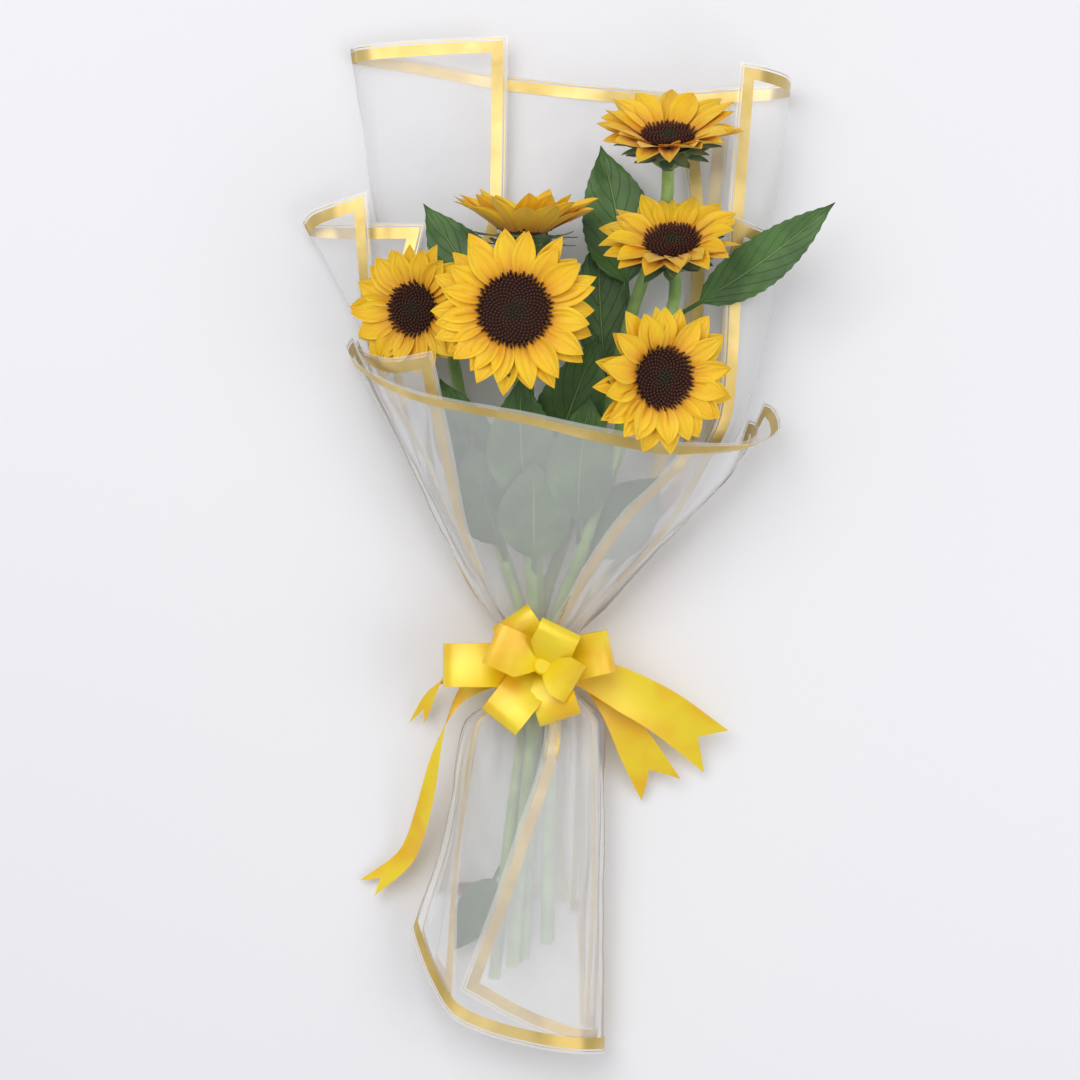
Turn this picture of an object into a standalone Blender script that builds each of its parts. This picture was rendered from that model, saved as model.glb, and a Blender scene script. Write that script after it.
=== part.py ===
"""A bunch of six sunflowers in a frosted film wrap with gold edges, tied with a satin bow.

The bunch lies on its back: X runs across it, +Y from the cut stems to the flower heads and
+Z up from the surface that it lies on. The origin is below its middle, on that surface.
"""
import math

import bmesh
import bpy
import numpy as np
from mathutils import Matrix, Vector

MM = 0.001

# Driving dimensions, in millimetres.
FILM = 0.8
WAIST_PITCH = 1.5
FILM_Z = FILM / 2
RIBBON = 0.8
RIBBON_WIDTH = 32.0
CLEARANCE = 0.4

STEM_RADIUS = 4.5
STEM_CIRCLE = 9.7
STEM_END_Y = -300.0
WAIST_X = -20.0
WAIST_Y = -86.0
WAIST_Z = 27.0
WAIST_HALF_LENGTH = 14.0
WAIST_RADIUS = 24.0
BAND_HALF_WIDTH = 12.0
KNOT_RADIUS = 7.0
KNOT_HEIGHT = 29.0

PETAL_THICKNESS = 1.0
CALYX_DEPTH = 25.0

# Cross-sections of the wrap below its rim: y, left, right, low, side height, high, and the
# space from one layer of film to the next.
CONE_TOP = (55.0, -115.0, 126.0, FILM_Z, 43.0, 116.0, 3.0)
CONE = (20.0, -98.0, 91.0, FILM_Z, 40.0, 98.0, 3.0)
NECK = (-45.0, -62.0, 26.0, 1.5, 32.0, 60.0, 2.2)
WAIST_SECTION = (WAIST_X - WAIST_RADIUS, WAIST_X + WAIST_RADIUS, WAIST_Z - WAIST_RADIUS,
                 WAIST_Z, WAIST_Z + WAIST_RADIUS, WAIST_PITCH)
WAIST_TOP = (WAIST_Y + WAIST_HALF_LENGTH,) + WAIST_SECTION
WAIST_FOOT = (WAIST_Y - WAIST_HALF_LENGTH,) + WAIST_SECTION
SKIRT_TOP = (-130.0, -76.0, 26.0, 1.0, 26.0, 53.0, 2.2)
SKIRT = (-215.0, -92.0, 28.0, FILM_Z, 25.0, 56.0, 2.6)
RINGS = (CONE_TOP, CONE, NECK, WAIST_TOP, WAIST_FOOT, SKIRT_TOP, SKIRT)

# Flower heads: middle of the disc's face, the way it faces, disc radius, petal length,
# how steeply the petals rise, number of petals and the stem's place in the tied bundle.
HEADS = {
    "front": ((-38, 166, 135), (0.0, 0.05, 1.0), 25.0, 36.0, 8.0, 18, 112.0),
    "left": ((-111, 169, 77), (-0.42, 0.0, 0.9), 18.0, 31.0, 10.0, 16, 184.0),
    "back": ((-31, 226, 85), (0.03, 1.0, 0.08), 18.0, 42.0, 38.0, 16, None),
    "top": ((72, 293, 78), (0.0, 0.86, 0.51), 18.0, 38.0, 24.0, 16, 256.0),
    "right": ((74, 217, 92), (-0.08, 0.8, 0.6), 19.0, 34.0, 20.0, 16, 328.0),
    "low": ((67, 118, 138), (0.4, -0.1, 0.9), 21.0, 34.0, 12.0, 16, 40.0),
}


def clear_scene():
    for item in list(bpy.data.objects):
        bpy.data.objects.remove(item, do_unlink=True)


def make_collection(name):
    collection = bpy.data.collections.new(name)
    bpy.context.scene.collection.children.link(collection)
    return collection


def make_material(name, color, roughness, metallic=0.0, alpha=1.0):
    material = bpy.data.materials.new(name)
    material.use_nodes = True
    shader = material.node_tree.nodes["Principled BSDF"]
    shader.inputs["Base Color"].default_value = (*color, 1.0)
    shader.inputs["Roughness"].default_value = roughness
    shader.inputs["Metallic"].default_value = metallic
    shader.inputs["Alpha"].default_value = alpha
    return material


# ---------------------------------------------------------------- smooth lines and surfaces

def slopes(knots, values):
    """Slopes of a curve through the values that never swings past them."""
    steps = np.diff(knots)[:, None]
    rates = np.diff(values, axis=0) / steps
    result = np.zeros_like(values)
    same_way = rates[:-1] * rates[1:] > 0
    sums = np.where(same_way, rates[:-1] + rates[1:], 1.0)
    result[1:-1] = np.where(same_way, 2 * rates[:-1] * rates[1:] / sums, 0.0)
    result[0] = rates[0]
    result[-1] = rates[-1]
    return result


def spans(points, steps):
    """Points on a smooth line through the given ones, with so many steps in each span."""
    values = np.array(points, dtype=float)
    knots = np.concatenate([[0.0], np.cumsum(np.linalg.norm(np.diff(values, axis=0), axis=1))])
    tangents = slopes(knots, values)
    result = [values[0]]
    for index, count in enumerate(steps):
        span = knots[index + 1] - knots[index]
        for t in np.linspace(0.0, 1.0, count + 1)[1:]:
            start = (1 + 2 * t) * (1 - t) ** 2 * values[index]
            start += t * (1 - t) ** 2 * span * tangents[index]
            end = t * t * (3 - 2 * t) * values[index + 1]
            end += t * t * (t - 1) * span * tangents[index + 1]
            result.append(start + end)
    return result


def through(points, count):
    """Evenly spread points on a smooth line through the given ones."""
    fine = np.array(spans(points, [8] * (len(points) - 1)))
    lengths = np.concatenate([[0.0], np.cumsum(np.linalg.norm(np.diff(fine, axis=0), axis=1))])
    places = np.linspace(0.0, lengths[-1], count)
    return [np.array([np.interp(place, lengths, fine[:, axis]) for axis in range(3)]) for place in places]


def arc(ring, level, first, last, count=9):
    """Part of a cross-section of the wrap, one level deeper for each layer of film inside it.

    The angle is 0 under the bunch, 90 at its left, 180 on top and 270 at its right.
    """
    y, left, right, low, side, high, pitch = ring
    inset = level * pitch
    middle = (left + right) / 2
    half_width = (right - left) / 2 - inset
    points = []
    for angle in np.radians(np.linspace(first, last, count)):
        rise = -math.cos(angle)
        height = high - inset - side if rise > 0 else side - low - inset
        points.append((middle - half_width * math.sin(angle), y, side + height * rise))
    return points


def rings(level, angles, stations=RINGS):
    """The same layer's arcs in every cross-section from the cone down to the skirt."""
    return [arc(ring, level, first, last) for ring, (first, last) in zip(stations, angles)]


def grid_mesh(name, rows):
    """A mesh of quads over rows of points, in millimetres."""
    width = len(rows[0])
    vertices = [Vector(point) * MM for row in rows for point in row]
    faces = []
    for row in range(len(rows) - 1):
        for column in range(width - 1):
            corner = row * width + column
            faces.append((corner, corner + 1, corner + width + 1, corner + width))
    mesh = bpy.data.meshes.new(name)
    mesh.from_pydata(vertices, [], faces)
    return mesh


def add_object(collection, name, mesh, material, thickness=None):
    mesh.materials.append(material)
    mesh.shade_smooth()
    item = bpy.data.objects.new(name, mesh)
    collection.objects.link(item)
    if thickness:
        shell = item.modifiers.new("thickness", "SOLIDIFY")
        shell.thickness = thickness * MM
        shell.offset = 0.0
    return item


def sheet(collection, name, sections, columns, material):
    """A thin sheet lofted through cross-sections that run from its rim to its hem."""
    lines = [through(section, columns) for section in sections]
    return add_object(collection, name, grid_mesh(name, lines), material, FILM)


def ribbon(collection, name, points, widths, across, count, material):
    """A flat band along a line; across gives the way its width lies at both ends."""
    line = through(points, count)
    rows = []
    for index, point in enumerate(line):
        share = index / (count - 1)
        side = Vector(across[0]).lerp(Vector(across[1]), share).normalized()
        half = np.interp(share, np.linspace(0, 1, len(widths)), widths) / 2
        rows.append([Vector(point) - side * half, Vector(point) + side * half])
    return add_object(collection, name, grid_mesh(name, rows), material, RIBBON)


def turned(collection, name, profile, material, steps=24):
    """A solid turned about its Z axis from a profile that runs from top to bottom."""
    mesh = bpy.data.meshes.new(name)
    vertices = [(radius * MM, 0.0, height * MM) for radius, height in profile]
    mesh.from_pydata(vertices, [(i, i + 1) for i in range(len(profile) - 1)], [])
    item = add_object(collection, name, mesh, material)
    screw = item.modifiers.new("turn", "SCREW")
    screw.steps = steps
    screw.render_steps = steps
    screw.use_merge_vertices = True
    screw.merge_threshold = 0.00001
    return item


# ---------------------------------------------------------------- the film wrap

def build_film(collection, film):
    """Seven sheets of film, each gathered at the waist and running from rim to hem."""
    back = [
        [(122, 327, FILM_Z), (-43, 343, FILM_Z), (-115, 356, FILM_Z), (-150, 361, 4),
         (-160, 362, 10), (-147, 364, 17), (-107, 367, 20), (-43, 370, 22)],
        [(112, 235, FILM_Z), (0, 240, FILM_Z), (-100, 240, FILM_Z), (-133, 240, 3),
         (-142, 240, 9), (-133, 240, 14.5), (-100, 240, 17), (-45, 240, 18.5)],
        [(92, 150, FILM_Z), (0, 150, FILM_Z), (-85, 150, FILM_Z), (-118, 150, 2.5),
         (-131, 150, 8), (-129, 150, 15), (-114, 150, 20), (-94, 150, 23)],
    ]
    back += rings(0, [(-34, 68)] * 7)
    back.append([(6, -263, 0.6), (-20, -260, 0.6), (-64, -258, 0.6), (-90, -257, 5), (-97, -256, 12)])
    sheet(collection, "film_back_sheet", back, 14, film)

    left_flap = [
        [(-103, 234, 25), (-143, 234, 22), (-180, 234, 13), (-193, 235, 15),
         (-187, 242, 25), (-169, 249, 31), (-145, 257, 34)],
        [(-119, 150, 30), (-129, 150, 26), (-141, 150, 21), (-147, 150, 24),
         (-147, 150, 32), (-143, 150, 38), (-137, 150, 42)],
    ]
    left_flap += rings(3, [(80, 114)] * 7)
    left_flap.append([(-95, -300, 15), (-97, -305, 26), (-91, -316, 35), (-84, -324, 40)])
    sheet(collection, "film_left_flap_sheet", left_flap, 8, film)

    left_inner = [
        [(-153, 150, 14), (-154, 146, 30), (-146, 139, 60), (-125, 134, 91), (-97, 138, 108)],
    ]
    left_inner += rings(2, [(77, 132), (77, 128), (77, 124), (77, 122), (77, 122), (77, 124), (77, 126)])
    left_inner.append([(-105, -283, 13), (-107, -287, 27), (-97, -314, 40), (-82, -334, 46)])
    sheet(collection, "film_left_inner_sheet", left_inner, 8, film)

    right_tall = [
        [(79, 331, 3.8), (119, 334, 3.8), (150, 336, 8), (161, 337, 25),
         (157, 339, 60), (143, 342, 85), (123, 345, 95)],
        [(88, 225, 3.8), (122, 225, 4.2), (142, 225, 8), (150, 225, 28),
         (146, 225, 48), (133, 225, 57), (114, 225, 61)],
        [(84, 100, 4.6), (108, 100, 5.4), (120, 100, 9), (126, 100, 26),
         (125, 100, 46), (118, 100, 56), (106, 100, 62)],
        [(76, 55, 5.5), (93, 55, 7), (102, 55, 12), (105, 55, 27),
         (104, 55, 44), (98, 55, 55), (88, 55, 62)],
    ]
    right_tall += rings(3.5, [(318, 244)], RINGS[1:2]) + rings(3.1, [(318, 244)] * 5, RINGS[2:])
    right_tall.append([(0, -270, 13), (11, -270, 20), (13, -270, 28), (7, -270, 35)])
    sheet(collection, "film_right_tall_sheet", right_tall, 10, film)

    right_short = [
        [(118, 224, 1.9), (142, 222, 3.5), (155, 221, 26), (152, 223, 53),
         (138, 229, 63), (116, 238, 67)],
        [(100, 100, 2.2), (122, 100, 5), (131, 100, 25), (130, 100, 49),
         (123, 100, 61), (108, 100, 68)],
        [(88, 55, 3), (104, 55, 8), (110, 55, 26), (109, 55, 47), (102, 55, 60), (89, 55, 68)],
    ]
    right_short += rings(2.6, [(316, 240)], RINGS[1:2]) + rings(2.15, [(316, 240)] * 5, RINGS[2:])
    right_short.append([(7, -352, 9), (16, -353, 16), (18, -353, 27), (11, -353, 38)])
    sheet(collection, "film_right_short_sheet", right_short, 10, film)

    right_inner = [
        [(85, 75, 95), (109, 73, 82), (128, 75, 64), (138, 83, 45), (136, 90, 28), (131, 92, 16)],
    ]
    right_inner += rings(1.6, [(214, 286), (206, 287)], RINGS[:2])
    right_inner += rings(1.1, [(198, 288), (192, 290), (190, 290), (190, 290), (172, 290)], RINGS[2:])
    right_inner.append([(-78, -321, 49), (-27, -348, 52), (10, -361, 45), (23, -363, 26),
                        (20, -362, 11), (12, -361, 5)])
    sheet(collection, "film_right_inner_sheet", right_inner, 16, film)

    front = [
        [(-157, 152, 8), (-161, 145, 28), (-149, 130, 66), (-109, 110, 106), (-34, 95, 128),
         (37, 81, 124), (87, 73, 106), (130, 71, 84), (155, 86, 52), (151, 100, 26),
         (144, 104, 11)],
    ]
    front += rings(0, [(75, 285)] * 7)
    front.append([(-109, -276, 14), (-113, -279, 30), (-99, -317, 46), (-80, -343, 54),
                  (-27, -361, 57), (9, -367, 50), (28, -368, 28), (25, -368, 9)])
    sheet(collection, "film_front_sheet", front, 30, film)


# ---------------------------------------------------------------- the flowers

def facing(direction):
    """Rotation that turns +Z to the given direction and keeps +Y as high as it can."""
    return Vector(direction).to_track_quat("Z", "Y").to_matrix().to_4x4()


def star_mesh(name, ring_profile, rays, ray_profile, closed_middle):
    """A dish of rings with pointed rays around it.

    ring_profile holds radius and height of each ring; ray_profile holds radius, height and
    half-width as a share of a ray's place for each step out, and its last step is the point.
    """
    shape = bmesh.new()
    spokes = []
    for index in range(rays):
        angle = 2 * math.pi * index / rays
        spoke = [Vector((r * math.cos(angle), r * math.sin(angle), z)) * MM for r, z in ring_profile]
        spokes.append([shape.verts.new(point) for point in spoke])
    for index in range(rays):
        here = spokes[index]
        following = spokes[(index + 1) % rays]
        for step in range(len(ring_profile) - 1):
            shape.faces.new((here[step], here[step + 1], following[step + 1], following[step]))
        pair = (here[-1], following[-1])
        middle_angle = 2 * math.pi * (index + 0.5) / rays
        for radius, height, share in ray_profile[:-1]:
            half = share * math.pi / rays
            edge = []
            for angle in (middle_angle - half, middle_angle + half):
                place = Vector((radius * math.cos(angle), radius * math.sin(angle), height))
                edge.append(shape.verts.new(place * MM))
            shape.faces.new((pair[0], edge[0], edge[1], pair[1]))
            pair = edge
        radius, height, share = ray_profile[-1]
        tip = Vector((radius * math.cos(middle_angle), radius * math.sin(middle_angle), height))
        shape.faces.new((pair[0], shape.verts.new(tip * MM), pair[1]))
    if closed_middle:
        shape.faces.new([spoke[0] for spoke in spokes])
    bmesh.ops.recalc_face_normals(shape, faces=shape.faces)
    mesh = bpy.data.meshes.new(name)
    shape.to_mesh(mesh)
    shape.free()
    return mesh


def build_head(collection, name, head, materials):
    """Disc, ring of petals and calyx of one flower, all in the flower's own frame."""
    centre, direction, disc_radius, petal_length, rise, rays, _ = head
    frame = Matrix.Translation(Vector(centre) * MM) @ facing(direction)

    disc_profile = [(0, 1.2), (disc_radius * 0.5, 2.4), (disc_radius * 0.9, 1.5),
                    (disc_radius, -0.5), (disc_radius, -4.0), (disc_radius * 0.7, -9.5), (0, -10.5)]
    disc = turned(collection, f"flower_{name}_disc", disc_profile, materials["disc"], 20)
    disc.matrix_world = frame

    slope = math.tan(math.radians(rise))
    petal_foot = disc_radius + 1.0
    collar = disc_radius + 4.0

    def petal_step(share, width):
        radius = collar + (disc_radius + petal_length - collar) * share
        return radius, -3.0 + (radius - petal_foot) * slope, width

    petal_rings = [(petal_foot, -3.0), (collar, -3.0 + (collar - petal_foot) * slope)]
    petal_steps = [petal_step(0.45, 0.86), petal_step(0.8, 0.5), petal_step(1.0, 0.0)]
    mesh = star_mesh(f"flower_{name}_petals", petal_rings, rays, petal_steps, False)
    petals = add_object(collection, mesh.name, mesh, materials["petal"], PETAL_THICKNESS)
    petals.matrix_world = frame

    calyx_rings = [(5.0, -CALYX_DEPTH), (disc_radius * 0.8, -16.0), (disc_radius + 2.5, -4.6)]
    bract_steps = [(disc_radius + 8.0, -4.4, 0.66), (disc_radius + 15.0, -4.8, 0.0)]
    mesh = star_mesh(f"flower_{name}_calyx", calyx_rings, 12, bract_steps, True)
    calyx = add_object(collection, mesh.name, mesh, materials["calyx"], PETAL_THICKNESS)
    calyx.matrix_world = frame


STEM_STEPS = [2, 2, 1, 3, 3, 4, 1]


def stem_line(head):
    """Middle line of a stem: up from its cut end, through the tie and into the calyx."""
    centre, direction, _, _, _, _, place = head
    way = Vector(direction).normalized()
    top = Vector(centre) - way * (CALYX_DEPTH + PETAL_THICKNESS / 2 + CLEARANCE + 0.1)
    neck = top - way * 14.0
    offset = Vector((0.0, 0.0))
    if place is not None:
        offset = STEM_CIRCLE * Vector((math.cos(math.radians(place)), math.sin(math.radians(place))))
    low = Vector((WAIST_X + offset.x, WAIST_Y - 10.0, WAIST_Z + offset.y))
    high = Vector((WAIST_X + offset.x, WAIST_Y + 10.0, WAIST_Z + offset.y))
    end = Vector((WAIST_X - 12.0 + offset.x * 2.2, STEM_END_Y + offset.x * 1.5, WAIST_Z - 3.0 + offset.y * 1.35))
    shoulder = high.lerp(neck, 0.72) + Vector((0.0, 0.0, -6.0))
    return [end, low.lerp(end, 0.5), low, high, high.lerp(shoulder, 0.5), shoulder, neck, top]


def build_stem(collection, name, head, material):
    """A curve object with its own thickness and closed ends."""
    curve = bpy.data.curves.new(f"flower_{name}_stem", "CURVE")
    curve.dimensions = "3D"
    curve.bevel_depth = STEM_RADIUS * MM
    curve.bevel_resolution = 1
    curve.use_fill_caps = True
    curve.materials.append(material)
    spline = curve.splines.new("POLY")
    points = spans(stem_line(head), STEM_STEPS)
    spline.points.add(len(points) - 1)
    for target, point in zip(spline.points, points):
        target.co = (*(Vector(point) * MM), 1.0)
    item = bpy.data.objects.new(curve.name, curve)
    collection.objects.link(item)


# Leaves: the flower whose stem carries it, share of the way up that stem, the tip, blade
# width, how far the blade arches up and how far its sides are folded up.
LEAVES = {
    "far_right": ("right", 0.93, (191, 245, 84), 24.0, 3.0, 3.0),
    "behind_left": ("back", 0.86, (-104, 246, 52), 34.0, 8.0, 4.0),
    "upper_middle": ("top", 0.82, (24, 290, 22), 36.0, 2.0, 3.0),
    "middle": ("top", 0.72, (22, 226, 22), 28.0, 2.0, 2.0),
    "under_front": ("back", 0.66, (22, 150, 84), 34.0, 8.0, 4.0),
    "low_left": ("left", 0.68, (-92, 120, 62), 30.0, 6.0, 3.0),
    "low_middle": ("front", 0.66, (-34, 120, 96), 34.0, 4.0, 4.0),
    "low_right": ("low", 0.66, (16, 108, 96), 32.0, 6.0, 4.0),
    "wrap_left": ("left", 0.60, (-70, 74, 66), 32.0, 4.0, 3.0),
    "wrap_right": ("low", 0.62, (68, 50, 44), 34.0, 4.0, 3.0),
    "wrap_middle": ("front", 0.58, (-24, 62, 84), 36.0, 2.0, 3.0),
    "foot": ("left", 0.16, (-84, -296, 10), 20.0, 2.0, 2.0),
}


def leaf_rows(base, tip, width, arch, fold):
    """Rows across a leaf, from its stalk to its point."""
    along = (tip - base).normalized()
    side = along.cross(Vector((0, 0, 1))).normalized()
    rows = []
    for share, wide in ((0.0, 0.10), (0.16, 0.12), (0.3, 0.8), (0.48, 1.0), (0.72, 0.7), (0.9, 0.28), (1.0, 0.05)):
        middle = base.lerp(tip, share) + Vector((0, 0, arch * 4 * share * (1 - share)))
        half = side * wide * width / 2
        lift = Vector((0, 0, fold * wide))
        rows.append([middle - half + lift, middle, middle + half + lift])
    return rows


def build_leaf(collection, name, leaf, material):
    flower, share, tip, width, arch, fold = leaf
    line = through(stem_line(HEADS[flower]), 101)
    spot = Vector(line[round(share * 100)])
    target = Vector(tip)
    outward = target - spot
    along_stem = (Vector(line[round(share * 100) + 1]) - spot).normalized()
    outward -= outward.project(along_stem)
    base = spot + outward.normalized() * (STEM_RADIUS + CLEARANCE + 0.48)
    mesh = grid_mesh(f"leaf_{name}", leaf_rows(base, target, width, arch, fold))
    add_object(collection, mesh.name, mesh, material, PETAL_THICKNESS)


# ---------------------------------------------------------------- the tie, ribbon and bow

def build_ring(collection, name, inner, outer, half_width, material):
    """A band around the waist of the bunch."""
    profile = [(inner, half_width), (outer, half_width), (outer, -half_width), (inner, -half_width),
               (inner, half_width)]
    ring = turned(collection, name, profile, material, 32)
    ring.matrix_world = (Matrix.Translation(Vector((WAIST_X, WAIST_Y, WAIST_Z)) * MM)
                         @ Matrix.Rotation(-math.pi / 2, 4, "X"))


# Loops of the bow: way out, length, height above the band, height of the loop and upward tilt.
LOOPS = {
    "right": (12.0, 50.0, 2.0, 15.0, 10.0),
    "upper_left": (124.0, 44.0, 2.0, 15.0, 20.0),
    "left": (180.0, 70.0, 2.0, 13.0, 4.0),
    "lower_left": (232.0, 52.0, 2.0, 13.0, 14.0),
    "lower_right": (288.0, 42.0, 2.0, 15.0, 16.0),
    "upper_right": (64.0, 36.0, 15.0, 12.0, 34.0),
    "middle_left": (156.0, 44.0, 16.0, 11.0, 26.0),
    "small_right": (330.0, 30.0, 16.0, 11.0, 30.0),
}
LOOP_HALF_ANGLE = 17.0
BOW_MIDDLE = Vector((WAIST_X + 2.0, WAIST_Y))
BOW_FLOOR = WAIST_Z + WAIST_RADIUS + FILM / 2 + CLEARANCE + RIBBON + CLEARANCE + 0.1


def build_loop(collection, name, loop, material):
    """A loop of ribbon that leaves the knot, turns at its far end and comes back above."""
    heading, length, lift, height, tilt = loop
    out = Vector((math.cos(math.radians(heading)), math.sin(math.radians(heading)), 0))
    side = Vector((-out.y, out.x, 0))
    rise = Matrix.Rotation(math.radians(-tilt), 3, side)
    middle = Vector((BOW_MIDDLE.x, BOW_MIDDLE.y, BOW_FLOOR + lift + height / 2))
    start = (KNOT_RADIUS + CLEARANCE + RIBBON / 2 + 0.1) / math.cos(math.radians(tilt))
    outline = [(start, -1.6), (length * 0.55, -height * 0.36), (length * 0.86, -height * 0.46),
               (length, -height * 0.1), (length * 0.93, height * 0.42), (length * 0.6, height * 0.45),
               (start, 1.6)]
    line = through([(r, h, 0) for r, h in outline], 12)
    rows = []
    for r, h, _ in line:
        half = min(r * math.tan(math.radians(LOOP_HALF_ANGLE)), RIBBON_WIDTH / 2)
        centre = middle + rise @ (out * r + Vector((0, 0, h)))
        rows.append([centre - side * half, centre + side * half])
    mesh = grid_mesh(f"bow_loop_{name}", rows)
    add_object(collection, mesh.name, mesh, material, RIBBON)


# Tails of the bow: where each leaves the band round the waist, as an angle, its further
# points, its widths from the band to its end, and the way its width lies at its end.
TAILS = {
    "right_upper": (48.0, [(26, -98, 48), (68, -120, 36), (108, -150, 16)], [20, 32, 36, 38], (0.45, 0.8, 0.35)),
    "right_lower": (8.0, [(24, -106, 28), (50, -148, 22), (68, -178, 11)], [20, 24, 30, 34], (0.8, 0.45, 0.3)),
    "left_long": (130.0, [(-74, -104, 54), (-92, -138, 50), (-104, -190, 34), (-116, -224, 18), (-146, -250, 8)],
                  [20, 18, 15, 15, 18], (0.6, -0.6, 0.5)),
    "left_short": (176.0, [(-68, -90, 24), (-92, -98, 20), (-110, -130, 9)], [20, 16, 14, 14], (0.8, 0.0, 0.5)),
}
BAND_OUTSIDE = WAIST_RADIUS + FILM / 2 + CLEARANCE + RIBBON


def build_tails(collection, material):
    radius = BAND_OUTSIDE + CLEARANCE + RIBBON / 2
    for name, (place, points, widths, across) in TAILS.items():
        angle = math.radians(place)
        start = (WAIST_X + radius * math.cos(angle), WAIST_Y, WAIST_Z + radius * math.sin(angle))
        ribbon(collection, f"ribbon_tail_{name}", [start] + points, widths, ((0, 1, 0), across), 10, material)


def build_knot(collection, material):
    profile = [(0, KNOT_HEIGHT), (KNOT_RADIUS * 0.8, KNOT_HEIGHT), (KNOT_RADIUS, KNOT_HEIGHT - 2),
               (KNOT_RADIUS, 1.0), (KNOT_RADIUS * 0.8, 0.0), (0, 0.0)]
    knot = turned(collection, "bow_knot", profile, material, 16)
    knot.location = Vector((BOW_MIDDLE.x, BOW_MIDDLE.y, BOW_FLOOR)) * MM


def main():
    clear_scene()
    bunch = make_collection("bunch_of_sunflowers")
    film = make_material("frosted_film", (0.9, 0.9, 0.92), 0.35, alpha=0.4)
    satin = make_material("yellow_satin", (0.9, 0.7, 0.02), 0.35)
    leaf = make_material("leaf_green", (0.07, 0.16, 0.03), 0.5)
    stem = make_material("stem_green", (0.22, 0.36, 0.08), 0.55)
    twine = make_material("natural_twine", (0.45, 0.36, 0.22), 0.9)
    flower = {
        "disc": make_material("disc_brown", (0.03, 0.012, 0.008), 0.9),
        "petal": make_material("petal_yellow", (0.9, 0.55, 0.01), 0.5),
        "calyx": make_material("calyx_green", (0.08, 0.16, 0.04), 0.6),
    }
    build_film(bunch, film)
    for name, head in HEADS.items():
        build_head(bunch, name, head, flower)
        build_stem(bunch, name, head, stem)
    for name, blade in LEAVES.items():
        build_leaf(bunch, name, blade, leaf)
    tie_inner = STEM_CIRCLE + STEM_RADIUS + CLEARANCE
    tie_outer = WAIST_RADIUS - 3 * WAIST_PITCH - FILM / 2 - CLEARANCE
    build_ring(bunch, "stem_tie", tie_inner, tie_outer, 5.0, twine)
    band_inner = WAIST_RADIUS + FILM / 2 + CLEARANCE
    build_ring(bunch, "ribbon_band", band_inner, band_inner + RIBBON, BAND_HALF_WIDTH, satin)
    for name, loop in LOOPS.items():
        build_loop(bunch, name, loop, satin)
    build_knot(bunch, satin)
    build_tails(bunch, satin)


main()
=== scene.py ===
"""Looks of a bunch of sunflowers in a frosted film wrap with gold edges and a satin bow."""
import math
import random

import bmesh
import bpy
import numpy as np
from mathutils import Matrix, Vector, noise


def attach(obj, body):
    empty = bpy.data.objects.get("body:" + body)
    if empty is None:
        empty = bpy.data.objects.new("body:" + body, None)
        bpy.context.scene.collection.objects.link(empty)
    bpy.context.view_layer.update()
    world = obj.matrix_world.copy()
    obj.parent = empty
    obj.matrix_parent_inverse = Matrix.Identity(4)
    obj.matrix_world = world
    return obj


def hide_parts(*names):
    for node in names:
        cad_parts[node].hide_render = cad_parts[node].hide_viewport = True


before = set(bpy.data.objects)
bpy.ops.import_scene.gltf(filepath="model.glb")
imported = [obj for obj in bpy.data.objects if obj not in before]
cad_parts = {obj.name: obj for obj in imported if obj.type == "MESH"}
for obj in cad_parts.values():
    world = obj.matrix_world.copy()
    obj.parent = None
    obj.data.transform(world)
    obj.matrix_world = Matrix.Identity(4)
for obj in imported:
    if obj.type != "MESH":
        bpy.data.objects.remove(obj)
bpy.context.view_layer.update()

bl_info = {
    "name": "Bunch of Sunflowers",
    "version": (1, 0, 0),
    "blender": (4, 5, 0),
    "location": "3D View > Sidebar > Bunch",
    "description": "Builds the flowers, the film wrap and the bow of a bunch of sunflowers",
    "category": "Object",
}

# Sizes in millimetres, the same as the solids'.
MM = 0.001
FILM = 0.8
WAIST_PITCH = 1.5
FILM_Z = FILM / 2
CLEARANCE = 0.4
STEM_RADIUS = 4.5
STEM_CIRCLE = 9.7
STEM_END_Y = -300.0
WAIST_X = -20.0
WAIST_Y = -86.0
WAIST_Z = 27.0
WAIST_HALF_LENGTH = 14.0
WAIST_RADIUS = 24.0
PETAL_THICKNESS = 1.0
CALYX_DEPTH = 25.0
RIBBON_LAYERS = 2.0
BOW_MIDDLE = Vector((WAIST_X + 2.0, WAIST_Y))
BOW_FLOOR = WAIST_Z + WAIST_RADIUS + RIBBON_LAYERS
TAIL_RADIUS = WAIST_RADIUS + RIBBON_LAYERS + CLEARANCE

# Cross-sections of the wrap below its rim: y, left, right, low, side height, high, and the
# space from one layer of film to the next.
CONE_TOP = (55.0, -115.0, 126.0, FILM_Z, 43.0, 116.0, 3.0)
CONE = (20.0, -98.0, 91.0, FILM_Z, 40.0, 98.0, 3.0)
NECK = (-45.0, -62.0, 26.0, 1.5, 32.0, 60.0, 2.2)
WAIST_SECTION = (WAIST_X - WAIST_RADIUS, WAIST_X + WAIST_RADIUS, WAIST_Z - WAIST_RADIUS,
                 WAIST_Z, WAIST_Z + WAIST_RADIUS, WAIST_PITCH)
WAIST_TOP = (WAIST_Y + WAIST_HALF_LENGTH,) + WAIST_SECTION
WAIST_FOOT = (WAIST_Y - WAIST_HALF_LENGTH,) + WAIST_SECTION
SKIRT_TOP = (-130.0, -76.0, 26.0, 1.0, 26.0, 53.0, 2.2)
SKIRT = (-215.0, -92.0, 28.0, FILM_Z, 25.0, 56.0, 2.6)
RINGS = (CONE_TOP, CONE, NECK, WAIST_TOP, WAIST_FOOT, SKIRT_TOP, SKIRT)

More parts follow.
